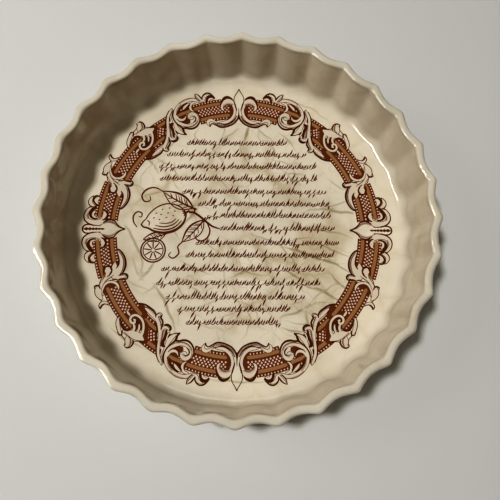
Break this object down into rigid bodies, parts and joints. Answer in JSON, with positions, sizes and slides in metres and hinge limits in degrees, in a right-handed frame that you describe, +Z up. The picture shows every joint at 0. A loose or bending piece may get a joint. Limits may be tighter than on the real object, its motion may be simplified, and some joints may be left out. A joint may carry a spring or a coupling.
{
  "type": "flan dish",
  "caption": "Round fluted flan dish in glazed ceramic, one solid with upright scalloped sides, a flat floor inside and a low foot ring; a printed scrollwork border rings the floor.",
  "frame": {"origin": "centre of the foot ring, on the surface that the dish stands on", "axes": "+Z up along the dish's axis, out of its mouth; +X and +Y through flute ridges"},
  "size_m": [0.254, 0.254, 0.048],
  "materials": {
    "glaze": "glossy clear glaze over cream ware, with fine brown crazing",
    "print": "red-brown print under the glossy glaze"
  },
  "bodies": {
    "root": {"dish": "glaze"}
  },
  "joints": []
}
